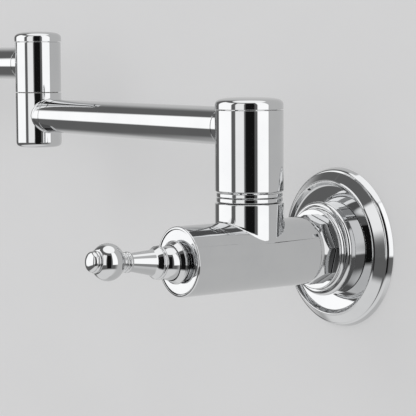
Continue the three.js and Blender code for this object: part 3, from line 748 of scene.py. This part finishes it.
def make_arm_one():
    """First arm: hub and cap on the shoulder, tube, and the lower half of the elbow."""
    body, radius = "arm_one", SHOULDER_RADIUS
    upper = [(0, 29.5), (radius, 29.5, 0.6), (radius, 66.9, 0.25), (0, 66.9)]
    upper_bores = [(8.7, 28.5, 67.9), (10.7, 62.8, 67.9), (12.9, 64.6, 67.9)]
    hub("shoulder_hub", radius, upper, TUBE_ONE_Z, LEFT, upper_bores, 55.3, ARM_ONE_FRAME, body)
    cap("shoulder_cap", radius, 67.2, 5.6, 12.6, ARM_ONE_FRAME, body)
    tube("arm_one_tube", 19.1, 189.0, TUBE_ONE_Z, ARM_ONE_FRAME, body)
    lower = [
        (0, 41.2),
        (10.8, 41.2, 0.6),
        (12.3, 42.1, 0.7),
        (ELBOW_RADIUS, 43.6, 0.5),
        (ELBOW_RADIUS, 71.3, 0.12),
        (11.2, 71.3),
        (11.2, 70.9),
        (0, 70.9),
    ]
    bores = [(7.2, 45.7, 71.9)]
    hub("elbow_lower_hub", ELBOW_RADIUS, lower, TUBE_ONE_Z, RIGHT, bores, 57.5, ELBOW_AXIS, body)
    wear = [(7.2, 71.2), (10.9, 71.2, 0.1), (10.9, 71.8, 0.1), (7.2, 71.8)]
    turned("elbow_wear_ring", wear, ELBOW_AXIS, body, "white_plastic", TURN)


def make_arm_two():
    """Second arm: the upper half of the elbow with its cap, and the tube to the outlet."""
    body = "arm_two"
    outline = [
        (0, 72.1),
        (11.2, 72.1),
        (11.2, 71.7),
        (ELBOW_RADIUS, 71.7, 0.12),
        (ELBOW_RADIUS, 99.3, 0.25),
        (0, 99.3),
    ]
    bores = [(7.2, 71.1, 100.3), (9.2, 94.3, 100.3), (11.4, 97.0, 100.3)]
    hub("elbow_upper_hub", ELBOW_RADIUS, outline, TUBE_TWO_Z, LEFT, bores, 85.3, ELBOW_AXIS, body)
    cap("elbow_cap", 13, 99.6, 5.6, 11.1, ELBOW_AXIS, body)
    tube("arm_two_tube", 16.0, 220.7, TUBE_TWO_Z, ELBOW_AXIS, body)


# ---- Outlet -------------------------------------------------------------------------------


def make_outlet_body():
    """Closed barrel of the outlet valve, with the boss of the spout and the stub of the tube."""
    front = OUTLET @ FRONT
    side = OUTLET @ RIGHT
    barrel = [
        (0, -18.5),
        (3.4, -18.1, 0.6),
        (8.5, -15.6, 1.2),
        (14.6, -12.3, 1.6),
        (BARREL_RADIUS, -8.5, 1.2),
        (BARREL_RADIUS, OUTLET_FACE, 0.8),
        (0, OUTLET_FACE),
    ]
    boss_radius, reach = 12, 19
    boss = [(0, -24), (boss_radius, -24, 0.7), (boss_radius, -6), (0, -6)]
    added = [spun(barrel, front), spun(boss, OUTLET), spun(stub_outline(reach), side)]
    removed = [
        *front_bores(OUTLET_FACE, front),
        rod(ARM_BORE, 0, reach + 9, side, 48),
        rod(5, -6, 4, front, 48),
        rod(PORT_BORE, 0, 15, OUTLET @ at(0, 0, INLET_PORT_Z) @ FRONT, 32),
        rod(PORT_BORE, -2, 15, OUTLET @ at(0, 0, OUTLET_PORT_Z) @ FRONT, 32),
        rod(5, -25, -7.5, OUTLET, 48),
        rod(7.3, -25, -15.4, OUTLET),
    ]
    mesh = joined(added, removed)
    walls = [Wall(front, BARREL_RADIUS), Wall(OUTLET, boss_radius), Wall(side, TUBE_RADIUS)]
    blend_joint(mesh, walls[0], walls[1], 0.7)
    blend_joint(mesh, walls[0], walls[2], 0.5)
    thing = piece("outlet_body", mesh, "arm_two")
    true_walls(thing, walls)


def make_spout():
    """Spout with its bead, and the housing of the aerator below it."""
    spout = [
        (6, -62.9),
        (8.1, -62.9, 0.2),
        (8.1, -56.0),
        (9, -55.9, 0.3),
        (9, -28.2, 0.5),
        (10.7, -27.3, 0.5),
        (11.3, -26.1, 0.6),
        (10.7, -24.9, 0.5),
        (9, -24.3, 0.15),
        (7, -24.3),
        (7, -16.3, 0.3),
        (5, -16.3, 0.2),
        (5, -26.3),
        (7.35, -28.3),
        (7.35, -54.3),
        (6, -56.3),
    ]
    turned("outlet_spout", spout, OUTLET, "arm_two")
    housing = [
        (7.2, -67.8, 0.3),
        (9.2, -67.8, 0.35),
        (10.0, -67.0, 0.35),
        (9.7, -65.4, 0.4),
        (10.5, -63.4, 0.8),
        (11.4, -60.8, 0.8),
        (11.6, -58.4, 0.6),
        (11.1, -56.8, 0.3),
        (10.5, -56.2, 0.2),
        (8.4, -56.2, 0.1),
        (8.4, -66.7),
        (7.2, -66.7),
    ]
    turned("aerator_housing", housing, OUTLET, "arm_two")


def make_insert():
    """Flow straightener: a moulded disc with nine round jets."""
    low, high = -66.4, -63.2
    jet_radius, jet_circle, jet_count = 1.05, 4.2, 8
    disc = spun([(0, low), (8.1, low, 0.2), (8.1, high, 0.2), (0, high)], OUTLET, TURN)
    jets = [rod(jet_radius, low - 1, high + 1, OUTLET, 32)]
    for index in range(jet_count):
        angle = index * math.pi / 4
        spot = at(jet_circle * math.cos(angle), jet_circle * math.sin(angle), 0)
        jets.append(rod(jet_radius, low - 1, high + 1, OUTLET @ spot, 32))
    piece("aerator_insert", joined([disc], jets), "arm_two", "white_plastic")


# ---- Inlet, gasket and carried-over pieces --------------------------------------------------


def make_inlet():
    """Brass adapter, with ring grooves for the thread of its socket, and the flange's gasket."""
    socket = 9.3
    adapter = [
        (9.3, 0.5, 0.4),
        (11.9, 0.5, 0.3),
        (11.9, 18.3),
        (14.2, 18.3, 0.2),
        (14.2, 19.7, 0.2),
        (6.5, 19.7, 0.2),
        (6.5, 15.0),
        (8.3, 13.5),
        (9.3, 13.5),
    ]
    grooves, pitch, depth = 7, 1.6, 0.55
    for index in range(grooves):
        high = 12.4 - index * pitch
        adapter += [(socket, high), (socket + depth, high - 0.8)]
    turned("inlet_adapter", adapter, FRONT, "wall_valve", "raw_brass")
    gasket = [(34.8, 0), (36.9, 0, 0.15), (36.9, 1.3, 0.2), (34.8, 1.3, 0.2)]
    turned("wall_gasket", gasket, FRONT, "wall_valve", "rubber")


def dress_hidden_pieces():
    """Gives each carried-over piece the finish of its slot."""
    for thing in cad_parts.values():
        for index, plain in enumerate(thing.data.materials):
            thing.data.materials[index] = BY_SLOT[plain.name]


# ---- Room ---------------------------------------------------------------------------------

WALL_TONE = (0.27, 0.27, 0.272)
WALL_GLOW = 1.52  # even light added to the wall, so that shadows on it stay faint
FLOOR_TONE = (0.62, 0.62, 0.61)
FLOOR_HEIGHT = -0.42

def panel(name, corner, across, along, material):
    """A flat backdrop panel, spanned by two edges from its corner."""
    sheet = bmesh.new()
    first = sheet.verts.new(corner)
    second = sheet.verts.new([a + b for a, b in zip(corner, across)])
    edge = sheet.edges.new((first, second))
    grown = bmesh.ops.extrude_edge_only(sheet, edges=[edge])
    moved = [item for item in grown["geom"] if isinstance(item, bmesh.types.BMVert)]
    bmesh.ops.translate(sheet, verts=moved, vec=along)
    data = bpy.data.meshes.new(name)
    sheet.to_mesh(data)
    sheet.free()
    data.materials.append(material)
    thing = bpy.data.objects.new(name, data)
    bpy.context.scene.collection.objects.link(thing)
    return thing


def plaster(name, tone, glow, one_sided):
    """Smooth pale plaster with faint cloudy streaks. One sided plaster is clear from behind."""
    material = bpy.data.materials.new(name)
    material.use_nodes = True
    tree = material.node_tree
    link = tree.links.new
    surface = tree.nodes["Principled BSDF"]
    surface.inputs["Specular IOR Level"].default_value = 0.15
    surface.inputs["Emission Strength"].default_value = glow
    place = node(tree, "ShaderNodeTexCoord")
    stretch = node(tree, "ShaderNodeMapping")
    stretch.inputs["Scale"].default_value = (1, 1, 2.2)
    clouds = node(tree, "ShaderNodeTexNoise")
    clouds.inputs["Scale"].default_value = 9
    clouds.inputs["Detail"].default_value = 4
    shade = node(tree, "ShaderNodeMix", data_type="RGBA")
    shade.inputs["A"].default_value = (*(v * 0.975 for v in tone), 1)
    shade.inputs["B"].default_value = (*(v * 1.025 for v in tone), 1)
    rough = node(tree, "ShaderNodeMapRange")
    rough.inputs["To Min"].default_value = 0.75
    rough.inputs["To Max"].default_value = 0.9
    link(place.outputs["Object"], stretch.inputs["Vector"])
    link(stretch.outputs["Vector"], clouds.inputs["Vector"])
    link(clouds.outputs["Fac"], shade.inputs["Factor"])
    link(clouds.outputs["Fac"], rough.inputs["Value"])
    link(shade.outputs["Result"], surface.inputs["Base Color"])
    link(shade.outputs["Result"], surface.inputs["Emission Color"])
    link(rough.outputs["Result"], surface.inputs["Roughness"])
    if one_sided:
        side = node(tree, "ShaderNodeNewGeometry")
        clear = node(tree, "ShaderNodeBsdfTransparent")
        choice = node(tree, "ShaderNodeMixShader")
        link(side.outputs["Backfacing"], choice.inputs["Fac"])
        link(surface.outputs["BSDF"], choice.inputs[1])
        link(clear.outputs["BSDF"], choice.inputs[2])
        link(choice.outputs["Shader"], tree.nodes["Material Output"].inputs["Surface"])
    return material


def make_room():
    """The plain wall behind the flange and the floor under it."""
    wall = panel(
        "wall_backdrop",
        (-2.2, 0.0002, FLOOR_HEIGHT),
        (4.2, 0, 0),
        (0, 0, 2.2),
        plaster("wall_plaster", WALL_TONE, WALL_GLOW, True),
    )
    if wall.data.polygons[0].normal.y > 0:
        wall.data.flip_normals()
    wall.visible_glossy = False
    floor = panel(
        "floor_backdrop",
        (-4, -4, FLOOR_HEIGHT),
        (8, 0, 0),
        (0, 8, 0),
        plaster("floor_plaster", FLOOR_TONE, 0, False),
    )
    floor.visible_glossy = False


def grey(tone):
    """Light that shows as this tone of 255 once it is mirrored in chrome."""
    return (tone / 255) ** 2.2 / MIRROR


# Studio round the tap, as the chrome sees it: bearing in degrees from the left along the wall
# (90 is straight out into the room, negative is behind the wall's plane), height in degrees,
# softness of the edges in degrees, and tone. A later row lies over an earlier one.
STUDIO = [
    # first and last bearing, low and high height, softness, tone
    (20, 80, -10, 45, 2, 250),  # large soft box on the left
    (95, 125, -10, 45, 2, 230),  # second soft box, nearer the camera
    (130, 160, -30, 45, 2, 25),  # dark room behind the camera
    (170, 190, -10, 60, 2, 250),  # soft box on the right
    (-190, -150, -10, 60, 2, 250),  # the same box, past the turn of the bearing
    (-190, 190, 60, 100, 2, 240),  # soft box overhead
]


RAMP_INPUTS = ("From Min", "From Max", "To Min", "To Max")


def make_light():
    """A plain pale surround for the eye and for shadows, and soft boxes for the chrome."""
    world = bpy.data.worlds.new("studio")
    bpy.context.scene.world = world
    world.use_nodes = True
    tree = world.node_tree
    link = tree.links.new
    background = tree.nodes["Background"]
    place = node(tree, "ShaderNodeTexCoord")
    split = node(tree, "ShaderNodeSeparateXYZ")
    link(place.outputs["Generated"], split.inputs["Vector"])

    def calculate(operation, *values):
        made = node(tree, "ShaderNodeMath", operation=operation)
        for index, value in enumerate(values):
            if isinstance(value, (int, float)):
                made.inputs[index].default_value = value
            else:
                link(value, made.inputs[index])
        return made.outputs["Value"]

    back_x = calculate("MULTIPLY", split.outputs["X"], -1.0)
    back_y = calculate("MULTIPLY", split.outputs["Y"], -1.0)
    bearing = calculate("MULTIPLY", calculate("ARCTAN2", back_y, back_x), 180 / math.pi)
    height = calculate("MULTIPLY", calculate("ARCSINE", split.outputs["Z"]), 180 / math.pi)

    def ramp(value, low, high, first=0.0, last=1.0):
        made = node(tree, "ShaderNodeMapRange", interpolation_type="SMOOTHSTEP")
        link(value, made.inputs["Value"])
        for key, number in zip(RAMP_INPUTS, (low, high, first, last)):
            made.inputs[key].default_value = number
        return made.outputs["Result"]

    def inside(value, low, high, soft):
        rising = ramp(value, low - soft, low + soft)
        return calculate("MULTIPLY", rising, ramp(value, high - soft, high + soft, 1.0, 0.0))

    def blend(share, under, over):
        made = node(tree, "ShaderNodeMix", data_type="RGBA")
        link(share, made.inputs["Factor"])
        for key, value in (("A", under), ("B", over)):
            if isinstance(value, tuple):
                made.inputs[key].default_value = value
            else:
                link(value, made.inputs[key])
        return made.outputs["Result"]

    def tint(tone):
        light = grey(tone)
        return (light, light, light, 1)

    # Plain surround: pale floor below, a darkened room above, the plain wall behind.
    room = blend(ramp(height, -40, -30), tint(200), tint(90))
    behind = calculate("MULTIPLY", ramp(bearing, -178, -140), ramp(bearing, -25, 0, 1.0, 0.0))
    seen = blend(behind, room, tint(170))
    for first, last, low, high, soft, tone in STUDIO:
        across = inside(bearing, first, last, soft)
        along = inside(height, low, high, soft)
        seen = blend(calculate("MULTIPLY", across, along), seen, tint(tone))
    rays = node(tree, "ShaderNodeLightPath")
    for_shadows, for_the_eye = (0.92, 0.92, 0.92, 1), (0.60, 0.60, 0.605, 1)
    soft_light = blend(rays.outputs["Is Camera Ray"], for_shadows, for_the_eye)
    colour = blend(rays.outputs["Is Glossy Ray"], soft_light, seen)
    link(colour, background.inputs["Color"])


def make_window():
    """One broad lamp for soft shadows. The chrome doesn't mirror it."""
    key = bpy.data.lights.new("window_light", "AREA")
    key.shape, key.size, key.size_y = "RECTANGLE", 1.2, 1.0
    key.energy = 5
    lamp = bpy.data.objects.new("window_light", key)
    lamp.matrix_world = aimed((-0.9, -1.3, 1.1), (0, 0, 0))
    lamp.visible_glossy = False
    lamp.visible_camera = False
    bpy.context.scene.collection.objects.link(lamp)


def aimed(spot, target):
    """Place of a lamp at the spot that points at the target."""
    spot = Vector(spot)
    turn = (Vector(target) - spot).to_track_quat("-Z", "Y").to_matrix().to_4x4()
    return Matrix.Translation(spot) @ turn


def make_camera():
    """Camera at the photograph's place and angle, its small shift turned into aim."""
    yaw, pitch, roll = 0.92965, 0.093108, -0.0046278
    focal, centre_x, centre_y, side = 1689.4, 211.5, 210.3, 416
    level = math.cos(pitch)
    ahead = Vector((-math.sin(yaw) * level, math.cos(yaw) * level, -math.sin(pitch)))
    right = Vector((math.cos(yaw), math.sin(yaw), 0))
    up = right.cross(ahead)
    right, up = (
        right * math.cos(roll) + up * math.sin(roll),
        up * math.cos(roll) - right * math.sin(roll),
    )
    ahead += right * ((side / 2 - centre_x) / focal) - up * ((side / 2 - centre_y) / focal)
    ahead.normalize()
    right = (right - ahead * right.dot(ahead)).normalized()
    up = right.cross(ahead)
    data = bpy.data.cameras.new("camera")
    data.sensor_width = 36
    data.lens = 36 * focal / side
    data.clip_start, data.clip_end = 0.01, 50
    camera = bpy.data.objects.new("camera", data)
    turn = Matrix((right, up, -ahead)).transposed().to_4x4()
    camera.matrix_world = Matrix.Translation((0.60909, -0.53123, 0.09308)) @ turn
    bpy.context.scene.collection.objects.link(camera)
    bpy.context.scene.camera = camera


make_flange()
make_nut()
make_valve_body()
make_shoulder()
make_arm_one()
make_arm_two()
make_outlet_body()
make_spout()
make_insert()
make_inlet()
make_valve_front("wall", WALL_FACE, "wall_valve", "wall_lever")
make_valve_front("outlet", OUTLET_FRONT, "arm_two", "outlet_lever")
dress_hidden_pieces()
make_room()
make_light()
make_window()
make_camera()
bpy.context.scene.view_settings.view_transform = "Standard"
